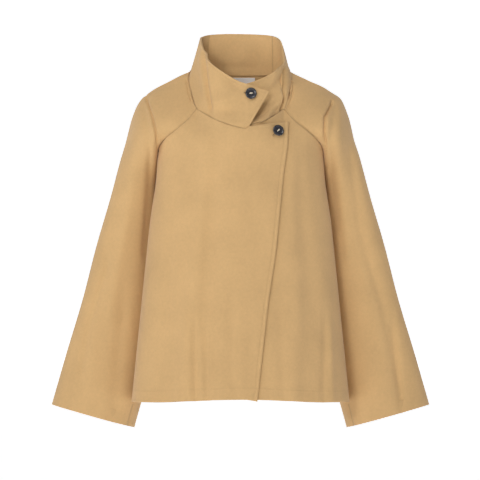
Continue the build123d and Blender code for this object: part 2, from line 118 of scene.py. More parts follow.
lens = bpy.data.cameras.new("camera")
camera = bpy.data.objects.new("camera", lens)
bpy.context.collection.objects.link(camera)
CAMERA_AWAY, VIEW_WIDE = 12.0, 0.96
camera.location = (-0.001, -CAMERA_AWAY, -0.274)
camera.rotation_euler = (math.radians(90), 0, 0)
lens.sensor_width = 36
lens.lens = lens.sensor_width * CAMERA_AWAY / VIEW_WIDE
bpy.context.scene.camera = camera
bpy.context.scene.view_settings.view_transform = "Standard"

# ---- Left front: the plain front that lies underneath, tan cotton twill --------------------------
# Cut in one piece from the raglan and neck seams to the hem. Its free edge is hidden under the
# right front. The shape functions are in millimetres, as the pattern is.
CLOTH = 1.8
HEM_Z, ARM_Z = -590.0, -106.0
CHEST_HALF, HEM_HALF = 168.0, 217.0
UNDERLAP_X = -20.0
NECK_X = 87.0
HEM_FOLD, EDGE_STITCH, THICK_STEP = 24.0, 7.0, 2.6
RAGLAN_FRONT = [(87, -12), (107, -35), (128, -53), (149, -70), (163, -86), (168, -106)]


def mix(a, b, t):
    return a + (b - a) * t


def ease(t):
    t = min(max(t, 0.0), 1.0)
    return t * t * (3 - 2 * t)


def hump(t, middle, width):
    return math.exp(-((t - middle) / width) ** 2)


def along(points, t):
    """Smooth curve through points, t from 0 to 1."""
    n = len(points) - 1
    s = min(max(t, 0.0), 1.0) * n
    i = min(int(s), n - 1)
    f = s - i
    p1, p2 = points[i], points[i + 1]
    p0 = points[i - 1] if i > 0 else [2 * a - b for a, b in zip(p1, p2)]
    p3 = points[i + 2] if i + 2 <= n else [2 * b - a for a, b in zip(p1, p2)]
    return tuple(0.5 * (2 * b + (c - a) * f + (2 * a - 5 * b + 4 * c - d) * f * f
                        + (3 * b - a - 3 * c + d) * f ** 3)
                 for a, b, c, d in zip(p0, p1, p2, p3))


def at_x(points, x):
    """Height of a seam line, given as (x, z) points in order of x."""
    for (x0, z0), (x1, z1) in zip(points, points[1:]):
        if x <= x1:
            return mix(z0, z1, (x - x0) / (x1 - x0))
    return points[-1][1]


def body_level(z):
    return max(0.0, (ARM_Z - z) / (ARM_Z - HEM_Z))


def half_width(z):
    return mix(CHEST_HALF, HEM_HALF, body_level(z)) - 4 * hump(z, -155, 55)


def hem_z(x):
    """The hem hangs a little lower at the sides than at the middle."""
    return HEM_Z - 7 * ease(abs(x) / 190)


def toward_side(x, t):
    """Column t of the way from x to the side seam, evenly spaced round the body."""
    return CHEST_HALF * math.sin(mix(math.asin(x / CHEST_HALF), math.pi / 2, t))


def side_y(z):
    return mix(-2.0, -20.0, body_level(z))


def collar_front_y(x, z):
    return -88.0 + (z + 50) * 0.2045 + 0.003 * x * x + 2.5e-7 * x ** 4


def front_y(x, z):
    centre = mix(-88.0, -137.0, (-50.0 - z) / 540.0)
    across = math.sqrt(max(0.0, 1 - (x / half_width(z)) ** 2))
    chest = side_y(z) + (centre - side_y(z)) * across
    reach = min(abs(x), NECK_X)
    neck = mix(-50.0, -12.0, (reach / NECK_X) ** 2)
    rise = ease((z - ARM_Z) / (neck - ARM_Z)) ** 2
    return mix(chest, collar_front_y(reach, z), rise)


NECK_LEFT = [(-20, -49), (0, -49), (14, -46.5), (30, -41.5), (45, -37), (57, -32.5), (68, -26),
             (78, -19), (87, -12)]


def off_side(p):
    """0 on the side seam, where front and back are sewn flush, 1 away from it."""
    return ease((half_width(p.z) - abs(p.x)) / 14) if p.z < ARM_Z else 1.0


def crease(x, z, path, depth, width, reach=26):
    """A groove (or a ridge, if depth is negative) along a path of (x, z) points going down."""
    if z > path[0][1] + reach or z < path[-1][1] - reach:
        return 0.0
    at = path[0][0] if z > path[0][1] else path[-1][0]
    for (x0, z0), (x1, z1) in zip(path, path[1:]):
        if z1 <= z <= z0:
            at = mix(x0, x1, (z0 - z) / (z0 - z1))
    ends = ease((path[0][1] + reach - z) / reach) * ease((z - path[-1][1] + reach) / reach)
    return -depth * hump(x, at, width) * ends


def wander(p, size, seed):
    """Slow unevenness of hung cloth, from -1 to 1; size in mm."""
    return noise.noise(Vector((p.x / size + seed, p.y / size, p.z / (size * 2.6))))


def front_fall(p, side):
    """Soft folds of a front: long flutes that open toward the hem, drags from the underarm."""
    x, z = p.x, p.z
    low_down = ease((-120 - z) / 470)
    h = 2.0 * wander(p, 60, 3.1 * side) + 0.7 * wander(p, 22, 9.0)
    h += low_down * 1.7 * math.sin(x / 15.0 + 2.0)
    # the flute beside the lap's edge, the hollows under each arm, and the ripple at the left side
    h += crease(x, z, [(-46, -110), (-88, -590)], 2.6, 13, 90)
    h += crease(x, z, [(-64, -110), (-118, -590)], -2.6, 15, 90)
    h += crease(x, z, [(-92, -470), (-90, -600)], 3.6, 6, 70)
    h += crease(x, z, [(-69, -490), (-67, -600)], 3.0, 6, 70)
    h += crease(x, z, [(-20, -420), (-14, -600)], 2.4, 12, 120)
    h += crease(x, z, [(168, -470), (164, -600)], 2.9, 6, 70)
    h += crease(x, z, [(178, -480), (181, -600)], -2.6, 6, 70)
    h += crease(x, z, [(120, -200), (150, -420)], 2.2, 16, 120)
    h += crease(x, z, [(98, -90), (112, -420)], -1.8, 14, 100)
    h += crease(x, z, [(78, -430), (88, -600)], 2.7, 12, 90)
    h += crease(x, z, [(112, -430), (108, -600)], -1.8, 14, 90)
    h += crease(x, z, [(-146, -120), (-168, -420)], -2.0, 14, 70)
    return h * off_side(p)


def panel(name, place, nu, nv, marks, inward=0.0, fall=None):
    """A cut piece of cloth: a grid laid on place(u, v), in mm, with its folds raised on it.

    marks(u, v, point) gives the distance to the nearest row of topstitching, the distance
    along it, and the distance to the nearest seam, for the cloth's material to sew.
    """
    cut = bmesh.new()
    bmesh.ops.create_grid(cut, x_segments=nu, y_segments=nv, size=0.5)
    uv = cut.loops.layers.uv.new("cloth")
    stitch = cut.verts.layers.float.new("stitch")
    run = cut.verts.layers.float.new("run")
    seam = cut.verts.layers.float.new("seam")
    step = 2e-3
    spots = {}
    for vert in cut.verts:
        u, v = vert.co.x + 0.5, vert.co.y + 0.5
        p = Vector(place(u, v))
        u0, u1 = max(0.0, u - step), min(1.0, u + step)
        v0, v1 = max(0.0, v - step), min(1.0, v + step)
        du = Vector(place(u1, v)) - Vector(place(u0, v))
        dv = Vector(place(u, v1)) - Vector(place(u, v0))
        out = du.cross(dv).normalized()
        lift = -inward + (fall(p) if fall else 0.0)
        vert[stitch], vert[run], vert[seam] = (k * 0.001 for k in marks(u, v, p))
        spots[vert] = (p + out * lift) * 0.001
    for vert, spot in spots.items():
        u, v = vert.co.x + 0.5, vert.co.y + 0.5
        for loop in vert.link_loops:
            loop[uv].uv = (u, v)
        vert.co = spot
    mesh = bpy.data.meshes.new(name)
    cut.to_mesh(mesh)
    cut.free()
    mesh.polygons.foreach_set("use_smooth", [True] * len(mesh.polygons))
    piece = bpy.data.objects.new(name, mesh)
    bpy.context.collection.objects.link(piece)
    return piece


def thickness(piece, depth, edge=0.5):
    """Gives a cut piece its cloth thickness, inward, and softens its edges; sizes in mm."""
    wall = piece.modifiers.new("cloth", "SOLIDIFY")
    wall.thickness = depth * 0.001
    wall.offset = -1
    soft = piece.modifiers.new("edge", "BEVEL")
    soft.width = edge * 0.001
    soft.segments = 3
    soft.limit_method = "ANGLE"
    soft.angle_limit = math.radians(50)
    return piece


def cotton(name, tint, shade=1.0):
    """Washed cotton twill: fine diagonal weave, uneven dye, worn seams, tan topstitching."""
    cloth = bpy.data.materials.new(name)
    cloth.use_nodes = True
    nodes, links = cloth.node_tree.nodes, cloth.node_tree.links
    shader = nodes["Principled BSDF"]
    shader.inputs["Roughness"].default_value = 0.88
    shader.inputs["Specular IOR Level"].default_value = 0.22
    shader.inputs["Sheen Weight"].default_value = 0.18
    shader.inputs["Sheen Roughness"].default_value = 0.55
    where = nodes.new("ShaderNodeTexCoord")

    def noise(scale, detail, rough):
        n = nodes.new("ShaderNodeTexNoise")
        n.inputs["Scale"].default_value = scale
        n.inputs["Detail"].default_value = detail
        n.inputs["Roughness"].default_value = rough
        links.new(where.outputs["Object"], n.inputs["Vector"])
        return n.outputs["Fac"]

    def calc(kind, a, b=None, c=None, clamp=False):
        n = nodes.new("ShaderNodeMath")
        n.operation = kind
        n.use_clamp = clamp
        for socket, value in zip(n.inputs, (a, b, c)):
            if value is None:
                continue
            if isinstance(value, (int, float)):
                socket.default_value = value
            else:
                links.new(value, socket)
        return n.outputs[0]

    def attribute(label):
        n = nodes.new("ShaderNodeAttribute")
        n.attribute_name = label
        return n.outputs["Fac"]

    def band(distance, width):
        """1 on the line, 0 beyond width metres."""
        far = calc("DIVIDE", calc("ABSOLUTE", distance), width)
        return calc("SUBTRACT", 1.0, far, clamp=True)

    twill = nodes.new("ShaderNodeTexWave")
    twill.wave_type = "BANDS"
    twill.bands_direction = "DIAGONAL"
    twill.inputs["Scale"].default_value = 330
    twill.inputs["Distortion"].default_value = 1.6
    twill.inputs["Detail"].default_value = 2
    twill.inputs["Detail Scale"].default_value = 1.5
    links.new(where.outputs["Object"], twill.inputs["Vector"])
    yarn = noise(1400, 2, 0.6)
    slub = noise(190, 4, 0.62)
    dye = noise(14, 5, 0.55)
    crease = noise(42, 4, 0.5)

    stitch_line = band(attribute("stitch"), 0.0008)
    beat = calc("SINE", calc("MULTIPLY", attribute("run"), 2 * math.pi / 0.003))
    sewn = calc("MULTIPLY", stitch_line, calc("MULTIPLY_ADD", beat, 2.0, 0.9, clamp=True))
    gully = band(attribute("stitch"), 0.0026)
    joined = band(attribute("seam"), 0.0022)
    pucker = calc("MULTIPLY", band(attribute("seam"), 0.009),
                  calc("SUBTRACT", noise(260, 2, 0.5), 0.5))

    ramp = nodes.new("ShaderNodeValToRGB")
    ramp.color_ramp.elements[0].position = 0.28
    ramp.color_ramp.elements[0].color = tuple(c * 0.86 * shade for c in tint) + (1,)
    ramp.color_ramp.elements[1].position = 0.72
    ramp.color_ramp.elements[1].color = tuple(min(1, c * 1.10 * shade) for c in tint) + (1,)
    uneven = calc("ADD", calc("MULTIPLY", dye, 0.45),
                  calc("ADD", calc("MULTIPLY", slub, 0.35), calc("MULTIPLY", yarn, 0.20)))
    links.new(uneven, ramp.inputs["Fac"])

    def tinted(under, mask, colour, strength):
        n = nodes.new("ShaderNodeMix")
        n.data_type = "RGBA"
        n.inputs[7].default_value = (*colour, 1)
        links.new(calc("MULTIPLY", mask, strength), n.inputs[0])
        links.new(under, n.inputs[6])
        return n.outputs[2]

    dark = tuple(c * 0.52 * shade for c in tint)
    pale = tuple(min(1, c * 1.18 * shade) for c in tint)
    colour = tinted(ramp.outputs["Color"], calc("SUBTRACT", 1.0, twill.outputs["Fac"]), dark, 0.10)
    # darker in the groove along each row of stitching: painted shade
    colour = tinted(colour, gully, dark, 0.13)
    colour = tinted(colour, joined, dark, 0.42)
    colour = tinted(colour, sewn, pale, 0.55)
    links.new(colour, shader.inputs["Base Color"])

    height = calc("ADD", calc("MULTIPLY", twill.outputs["Fac"], 0.00010),
                  calc("MULTIPLY", yarn, 0.00008))
    height = calc("ADD", height, calc("MULTIPLY", slub, 0.00016))
    height = calc("ADD", height, calc("MULTIPLY", crease, 0.00080))
    height = calc("ADD", height, calc("MULTIPLY", gully, -0.00040))
    height = calc("ADD", height, calc("MULTIPLY", joined, -0.00080))
    height = calc("ADD", height, calc("MULTIPLY", pucker, 0.0014))
    height = calc("ADD", height, calc("MULTIPLY", sewn, 0.00035))
    bump = nodes.new("ShaderNodeBump")
    bump.inputs["Strength"].default_value = 0.85
    bump.inputs["Distance"].default_value = 1.0
    links.new(height, bump.inputs["Height"])
    links.new(bump.outputs["Normal"], shader.inputs["Normal"])
    return cloth


FAR = 900.0
TAN = (0.640, 0.408, 0.184)
tan_twill = cotton("tan_twill", TAN)
tan_inside = cotton("tan_twill_inside", TAN, 0.94)


def left_front_place(u, v):
    # the corner of the neck and raglan seams falls on a column of the grid
    split = 0.58
    if u < split:
        x = mix(UNDERLAP_X, NECK_X, u / split)
        top = at_x(NECK_LEFT, x)
    else:
        x = toward_side(NECK_X, (u - split) / (1 - split))
        top = at_x(RAGLAN_FRONT, x)
    z = mix(hem_z(x), top, v)
    x = x / CHEST_HALF * half_width(z)
    return x, front_y(x, z), z


def front_marks(u, v, p, side=1):
    """Hem stitching 24 mm up; seams along the neck and raglan."""
    x = p.x * side
    level = p.z - hem_z(p.x)
    rag = FAR
    if x > NECK_X - 6:
        rag = (at_x(RAGLAN_FRONT, max(x, NECK_X)) - p.z) * 0.72
    neck = at_x(NECK_LEFT, p.x) - p.z if x < NECK_X + 4 else FAR
    return level - HEM_FOLD, p.x, min(abs(rag), abs(neck))


left_front = panel("left_front", left_front_place, 90, 190, front_marks,
                   fall=lambda p: front_fall(p, 1))
left_front.data.materials.append(tan_twill)
thickness(left_front, CLOTH)
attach(left_front, "torso")
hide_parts("left_front_panel")

# ---- Right front and its lap: laps over the left front, held by the lower button ------------------
# One piece from the side seam to its free edge. The lap turns back about a vertical line; the
# piece is built lying over. Its top edge and free edge are turned and topstitched.
LIFT = 5.2
FOLD_X = 12.0
TOP_BUTTON, LOW_BUTTON = (20.0, 16.0), (73.0, -59.0)
NECK_RIGHT = [(-87, -12), (-78, -18), (-68, -24.5), (-57, -31), (-44, -37), (-30, -42), (-15, -47),
              (0, -51), (15, -53)]
LAP_CORNER_X = 96.5
LAP_TOP = [(12, -49), (40, -44.5), (70, -40.5), (LAP_CORNER_X, -37.5)]
LAP_EDGE = [(34, -590), (56, -394), (71, -294), (87, -134), (93.5, -86),
            (LAP_CORNER_X, -37.5)]


def lap_lift(x):
    return LIFT * ease((x + 70) / 44)


def lap_edge_x(z):
    for (x0, z0), (x1, z1) in zip(LAP_EDGE, LAP_EDGE[1:]):
        if z <= z1:
            return mix(x0, x1, (z - z0) / (z1 - z0))
    return LAP_EDGE[-1][0]


def right_front_place(u, v):
    # columns: raglan, neck seam, then the lap's finished top edge, with corners on columns
    if u < 0.30:
        x = -toward_side(NECK_X, 1 - u / 0.30)
        top = at_x(RAGLAN_FRONT, -x)
    elif u < 0.66:
        x = mix(-NECK_X, FOLD_X, (u - 0.30) / 0.36)
        top = at_x(NECK_RIGHT, x)
    else:
        x = mix(FOLD_X, LAP_CORNER_X, (u - 0.66) / 0.34)
        top = mix(at_x(NECK_RIGHT, x), at_x(LAP_TOP, x), ease((x - FOLD_X) / 5))
    z = mix(hem_z(x), top, v)
    if x < 0:
        x = x / CHEST_HALF * half_width(z)
    elif x > FOLD_X:
        x = mix(FOLD_X, lap_edge_x(z), (x - FOLD_X) / (LAP_CORNER_X - FOLD_X))
    return x, front_y(x, z) - lap_lift(x), z


def right_front_marks(u, v, p):
    hem = p.z - hem_z(p.x)
    edge = lap_edge_x(p.z) - p.x if p.x > FOLD_X else FAR
    top = at_x(LAP_TOP, p.x) - p.z if p.x > FOLD_X else FAR
    rows = [(abs(hem - HEM_FOLD), p.x), (abs(edge - EDGE_STITCH), p.z), (abs(top - EDGE_STITCH), p.x)]
    stitch, run = min(rows)
    if p.x > FOLD_X and min(edge, top) < EDGE_STITCH - 0.5 and rows[0][0] > 3:
        stitch = min(rows[1][0], rows[2][0])
    rag = at_x(RAGLAN_FRONT, -p.x) - p.z if p.x < -NECK_X + 6 else FAR
    neck = at_x(NECK_RIGHT, p.x) - p.z if -NECK_X - 4 < p.x < FOLD_X + 2 else FAR
    return stitch, run, min(abs(rag * 0.72), abs(neck))


def right_front_fall(p):
    h = front_fall(p, -1)
    if p.x > FOLD_X:
        edge = lap_edge_x(p.z) - p.x
        h = mix(h, front_fall(p, 1), ease((p.x - FOLD_X) / 30))
        h += hump(edge, 3.0, THICK_STEP)            # the turned edge is thicker
        h += hump(at_x(LAP_TOP, p.x) - p.z, 3.0, THICK_STEP)
        h -= 0.8 * ease((14 - edge) / 14)          # and lies close on the front below
    button = math.dist((p.x, p.z), LOW_BUTTON)
    return h - 1.2 * hump(button, 0, 15)


right_front = panel("right_front", right_front_place, 130, 190, right_front_marks,
                    fall=right_front_fall)
right_front.data.materials.append(tan_twill)
thickness(right_front, CLOTH, 0.6)
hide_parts("right_front_panel", "right_front_lap", "front_buttonhole")
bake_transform(right_front)

# ---- Front facings: the strips of twill inside both front edges -----------------------------------
# Each is cut to the shape of its front and lies just behind it. The right one runs on into the
# lap, and shows when the lap turns back.
FACING_GAP = CLOTH + 0.5


def right_facing_place(u, v):
    x = mix(-55, 95.0, u)
    top = at_x(NECK_RIGHT, x) - 2.5 if x < FOLD_X else at_x(LAP_TOP, x) - 1.2
    z = mix(HEM_Z + 1.2, top, v)
    if x > FOLD_X:
        x = mix(FOLD_X, lap_edge_x(z) - 1.2, (x - FOLD_X) / (95.0 - FOLD_X))
    return x, front_y(x, z) - lap_lift(x), z


def left_facing_place(u, v):
    x = mix(UNDERLAP_X + 1, 60, u)
    z = mix(HEM_Z + 1.2, at_x(NECK_LEFT, x) - 2.5, v)
    return x, front_y(x, z), z


def facing_marks(u, v, p):
    return p.z - HEM_Z - HEM_FOLD, p.x, FAR


right_facing = panel("right_front_facing_cloth", right_facing_place, 50, 120, facing_marks,
                     inward=FACING_GAP, fall=right_front_fall)
right_facing.data.materials.append(tan_inside)
thickness(right_facing, 1.4)
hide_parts("right_front_facing", "lap_facing")
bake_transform(right_facing)

left_facing = panel("left_front_facing_cloth", left_facing_place, 28, 120, facing_marks,
                    inward=FACING_GAP, fall=lambda p: front_fall(p, 1))
left_facing.data.materials.append(tan_inside)
thickness(left_facing, 1.4)
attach(left_facing, "torso")
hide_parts("left_front_facing")

# ---- Back: one wide piece, side seam to side seam, flaring to the hem -----------------------------
# It carries soft flutes in the skirt. The neck edge is sewn to the collar, and a shaped facing
# lies inside it, with a plain woven tab stitched on as the label.
RAGLAN_BACK = [(74, 56), (96, 20), (120, -15), (142, -48), (158, -78), (168, -106)]
NECK_BACK = [(0, 56.5), (38, 57), (74, 58)]


def back_y(x, z):
    if z < ARM_Z:
        centre = mix(98.0, 92.0, body_level(z))
    else:
        centre = 98.0 - 26.0 * ((z - ARM_Z) / (53.0 - ARM_Z)) ** 2
    across = math.sqrt(max(0.0, 1 - (x / half_width(z)) ** 2))
    return side_y(z) + (centre - side_y(z)) * across


def back_place(u, v):
    side = -1 if u > 0.5 else 1
    w = abs(u - 0.5) * 2
    if w < 0.46:
        x = mix(0, 74, w / 0.46)
        top = at_x(NECK_BACK, x)
    else:
        x = toward_side(74, (w - 0.46) / 0.54)
        top = at_x(RAGLAN_BACK, x)
    z = mix(hem_z(x), top, v)
    x = x / CHEST_HALF * half_width(z)
    return x * side, back_y(x, z), z


def back_fall(p):
    x, z = p.x, p.z
    low_down = ease((-120 - z) / 470)
    h = low_down * (3.4 * math.sin(x / 29 + 0.4) + 1.6 * math.sin(x / 15.0 + 1.0))
    h += 2.0 * wander(p, 60, 5.5) + 0.7 * wander(p, 22, 1.5)
    h += 1.6 * hump(z, -20, 26) * hump(abs(x), 90, 40)
    h -= 1.4 * hump(abs(x) - (150 + (ARM_Z - z) * 0.03), -12, 12) * hump(z, -170, 80)
    return h * off_side(p)


def back_marks(u, v, p):
    x = abs(p.x)
    rag = (at_x(RAGLAN_BACK, max(x, 74)) - p.z) * 0.6 if x > 68 else FAR
    neck = at_x(NECK_BACK, x) - p.z if x < 78 else FAR
    return p.z - hem_z(p.x) - HEM_FOLD, p.x, min(abs(rag), abs(neck))


back = panel("back", back_place, 150, 180, back_marks, fall=back_fall)
back.data.materials.append(tan_twill)
thickness(back, CLOTH)
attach(back, "torso")
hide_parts("back_panel")


def neck_facing_place(u, v):
    x = mix(66, -66, u)
    low_z = -18 + 30 * (x / 66) ** 2
    z = mix(low_z, at_x(NECK_BACK, abs(x)) - 2.6, v)
    return x, back_y(x, z), z


neck_facing = panel("back_neck_facing_cloth", neck_facing_place, 44, 24,
                    lambda u, v, p: (p.z + 14 - 30 * (p.x / 66) ** 2, p.x, FAR),
                    inward=FACING_GAP, fall=back_fall)
neck_facing.data.materials.append(tan_inside)
thickness(neck_facing, 1.4)
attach(neck_facing, "torso")
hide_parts("back_neck_facing")

# ---- Turned hems of the body: a 24 mm fold of the same twill, inside the lower edge ----------------
# The back's hem runs from side seam to side seam, and each front's from its facing to the side.
def hem_band(name, place, fall, node, nu):
    band = panel(name, place, nu, 8, lambda u, v, p: (p.z - HEM_Z - HEM_FOLD, p.x, FAR),
                 inward=FACING_GAP, fall=fall)
    band.data.materials.append(tan_inside)
    thickness(band, 1.4)
    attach(band, "torso")
    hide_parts(node)
    return band


def hem_place(x0, x1, surface, lift):
    def place(u, v):
        x = mix(x0, x1, u)
        z = hem_z(x) + mix(0.6, HEM_FOLD + 1, v)
        return x, surface(x, z) - (lap_lift(x) if lift else 0), z
    return place


hem_band("left_front_hem_fold", hem_place(61, 206, front_y, False),
         lambda p: front_fall(p, 1), "left_front_hem", 60)
hem_band("right_front_hem_fold", hem_place(-206, -56, front_y, True),
         right_front_fall, "right_front_hem", 60)
hem_band("back_hem_fold", hem_place(206, -206, back_y, False), back_fall, "back_hem", 150)

# ---- Neck label: a blank white woven tab, folded and sewn along its ends ---------------------------
# It hangs on the back neck facing, just under the collar seam.
def two_tone(name, texture, dark, pale, relief, finish):
    """A material of two near tones mixed by a fine texture, which also raises its surface.

    texture is the node's kind and settings, relief the strength and depth in metres, and
    finish the settings of the surface.
    """
    made = bpy.data.materials.new(name)
    made.use_nodes = True
    nodes, links = made.node_tree.nodes, made.node_tree.links
    shader = nodes["Principled BSDF"]
    for label_, value in finish.items():
        shader.inputs[label_].default_value = value
    where = nodes.new("ShaderNodeTexCoord")
    kind, bands, settings = texture
    grain = nodes.new(kind)
    if bands:
        grain.bands_direction = bands
    for label_, value in settings.items():
        grain.inputs[label_].default_value = value
    ramp = nodes.new("ShaderNodeValToRGB")
    ramp.color_ramp.elements[0].color = (*dark, 1)
    ramp.color_ramp.elements[1].color = (*pale, 1)
    bump = nodes.new("ShaderNodeBump")
    bump.inputs["Strength"].default_value, bump.inputs["Distance"].default_value = relief
    links.new(where.outputs["Object"], grain.inputs["Vector"])
    links.new(grain.outputs["Fac"], ramp.inputs["Fac"])
    links.new(ramp.outputs["Color"], shader.inputs["Base Color"])
    links.new(grain.outputs["Fac"], bump.inputs["Height"])
    links.new(bump.outputs["Normal"], shader.inputs["Normal"])
    return made


label_cloth = two_tone("white_woven_tab",
                       ("ShaderNodeTexWave", "Z", {"Scale": 420, "Distortion": 0.6}),
                       (0.90, 0.89, 0.86), (0.98, 0.97, 0.95), (0.4, 0.0002),
                       {"Roughness": 0.6, "Sheen Weight": 0.25})


def label_place(u, v):
    x, z = mix(29.5, -28.5, u), mix(16.5, 53.5, v)
    return x, back_y(x, z), z


label = panel("label_tab", label_place, 24, 16, lambda u, v, p: (FAR, 0, FAR), inward=4.6,
              fall=lambda p: back_fall(p) - 0.5 * hump(p.z, 32, 12))
label.data.materials.append(label_cloth)
thickness(label, 0.8, 0.2)
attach(label, "torso")
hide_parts("neck_label")

# ---- Raglan sleeves: wide bells that run up to the neck seam over the shoulder ---------------------
# Each is one piece closed by a seam under the arm. It hangs a little behind the body, with a soft
# ridge down the middle and a hollow beside the body, and has a vent and a turned hem.
OVER_ARM = [(99, 18, 62), (133, 11, 47), (170, 10, 29), (199, 13, 5), (215, 15, -27),
            (224, 18, -58), (240, 22, -112), (262, 28, -194), (289, 33, -286),
            (317, 38, -394), (349, 42, -500), (379, 46, -604)]
UNDER_ARM = [(168, -2, -106), (166, 38, -150), (168, 51, -222), (170, 60, -310),
             (176, 66, -420), (184, 66, -535), (213, 58, -650)]
SLEEVE_DEPTH = [(2,), (6,), (13,), (25,), (38,), (46,), (48,), (47,), (47,), (49,), (53,), (58,)]
VENT_AT, VENT_DROP = 0.52, 4.5
FRONT_SEAM = [(x, front_y(x, z), z) for x, z in RAGLAN_FRONT[:-1]] + UNDER_ARM
BACK_SEAM = [(x, back_y(x, z), z) for x, z in RAGLAN_BACK[:-1]] + UNDER_ARM


def collar_base(t):
    """The neck seam from centre front (t = 0) over the shoulder to centre back (t = 1)."""
    return Vector(along(NECK_RING, 1 - t))


NECK_RING = [(x, collar_front_y(x, z), z) for x, z in ((0, -49), (30, -41.5), (57, -32.5),
                                                       (87, -12), (99, 20))]
NECK_RING += [(103, 2, 50), (93, 30, 69), (75, 57, 58), (38, 70, 56), (0, 72, 55.5)]
NECK_RING.reverse()


def sleeve_place(side):
    def place(u, v):
        # u goes round from the seam in front, over the arm, to the seam behind
        v = 1 - v
        front = u < 0.5
        round_ = (0.5 - u) * 2 if front else (u - 0.5) * 2
        top = Vector(along(OVER_ARM, v))
        low = Vector(along(FRONT_SEAM if front else BACK_SEAM, v))
        # the seam allowance reaches a little way under the body's cloth
        low += Vector((-2.6, 1.6 if front else -1.6, 0)) * ease(v * 6) * ease((0.6 - v) * 10)
        depth = along(SLEEVE_DEPTH, v)[0]
        tube = ease(v * 11 / 5)
        across = mix(round_, (1 - math.cos(math.pi * round_)) / 2, tube)
        toward = -1 if front else 1
        out = Vector((mix(0.55, 0.0, tube), toward * mix(0.65, 1.0, tube), mix(0.5, 0.0, tube)))
        full = math.sin(math.pi * round_ ** mix(1.0, 1.16 if front else 1.0, tube))
        p = top + (low - top) * across + out.normalized() * depth * full
        if not front:
            # behind, the hem's inner half hangs a little below the front, from a short vent
            inside = ease((round_ - VENT_AT) * 40) * (1 - round_) / (1 - VENT_AT)
            p.z -= VENT_DROP * inside * ease((v - 0.95) * 20)
        # at the neck the edge follows the collar's seam
        base = collar_base((5.6 - 2.6 * round_ if front else 5.6 + 1.4 * round_) / 9)
        p = base.lerp(p, ease(v * 11 / 1.2))
        return Vector((p.x * side, p.y, p.z))
    if side > 0:
        return place
    return lambda u, v: place(1 - u, v)


def cut_sleeve(side, name):
    place = sleeve_place(side)

    def marks(u, v, p):
        around = u if side > 0 else 1 - u
        length = (1 - v)
        seam = min(around, 1 - around) * 330
        neck = length * 640 if length < 0.05 else FAR
        # a short seam closes the vent beside the body, in front
        vent = abs(p.x) - mix(216, 225, (-602 - p.z) / 36)
        if length < 5 / 11 and abs(seam - 7) < 4:
            return seam - 7, length * 640, min(seam, neck)
        if p.z < -598 and around < 0.5 and abs(vent) < min(seam, neck, 12):
            return FAR, around * 330, vent
        return FAR, around * 330, min(seam, neck)

    def fall(p):
        x, z = p.x * side, p.z
        h = 2.2 * wander(p, 55, 7.7 * side) + 0.8 * wander(p, 24, 2.2)
        if p.y > 62 - z * 0.02:
            return h + ease((-90 - z) / 200) * 2.0 * math.sin(x / 13 + z / 160)
        if side < 0:
            h += crease(x, z, [(188, 6), (176, -28), (168, -62), (163, -94), (161, -122)], 5.2, 2.8, 14)
            h += crease(x, z, [(192, -14), (184, -64), (180, -110), (182, -170), (190, -300)], 3.6, 8, 24)
            h += crease(x, z, [(212, -90), (228, -240), (262, -420)], -2.6, 12, 60)
            h += crease(x, z, [(268, -330), (302, -440), (318, -520)], 3.0, 7, 60)
            h += crease(x, z, [(236, -420), (252, -600)], 2.4, 12, 70)
            h += crease(x, z, [(108, 40), (103.6, 18), (99, 6)], 2.0, 1.8, 10)
        else:
            h += crease(x, z, [(183, -2), (169, -27), (167, -86), (169, -122)], 6.0, 3.2, 12)
            h += crease(x, z, [(190, -20), (180, -70), (180, -150), (188, -240)], 2.8, 8, 40)
            h += crease(x, z, [(196, 4), (196, -60), (198, -130), (214, -300)], -2.8, 9, 30)
            h += crease(x, z, [(222, -110), (240, -260), (290, -420), (318, -560)], 4.0, 11, 60)
            h += crease(x, z, [(306, -450), (322, -590)], 3.4, 6, 50)
            h += crease(x, z, [(104, 30), (103, 12), (93, -10)], 2.2, 2.0, 10)
        # flat where it is sewn under the arm and along its outer fold
        fold_x, fold_y = (at_x([(-k[2], k[i]) for k in OVER_ARM], -z) for i in (0, 1))
        seam_x = at_x([(-k[2], k[0]) for k in (FRONT_SEAM if p.y < fold_y else BACK_SEAM)], -z)
        h *= ease((x - seam_x) / 14) if z < -14 else 1
        return h * mix(1, ease((fold_x - x) / 16), ease((-60 - z) / 60))

    sleeve = panel(name, place, 150, 260, marks, fall=fall)
    sleeve.data.materials.append(tan_twill)
    thickness(sleeve, CLOTH)
    arm = "left" if side > 0 else "right"
    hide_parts(*(f"{arm}_{zone}_{half}" for zone in ("shoulder", "sleeve")
                          for half in ("front", "back")))
    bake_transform(sleeve)
    return sleeve


cut_sleeve(1, "left_sleeve")
cut_sleeve(-1, "right_sleeve")


def sleeve_hem(side, name):
    place = sleeve_place(side)
    hem = panel(name, lambda u, v: place(mix(0.02, 0.98, u), mix(0.001, 0.0205, v)), 80, 8,
                lambda u, v, p: (FAR, 0, FAR), inward=FACING_GAP + 0.6)
    hem.data.materials.append(tan_inside)
    thickness(hem, 1.4)
    arm = "left" if side > 0 else "right"
    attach(hem, f"{arm}_arm")
    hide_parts(f"{arm}_sleeve_hem_front", f"{arm}_sleeve_hem_back")
    return hem


sleeve_hem(1, "left_sleeve_hem_fold")
sleeve_hem(-1, "right_sleeve_hem_fold")

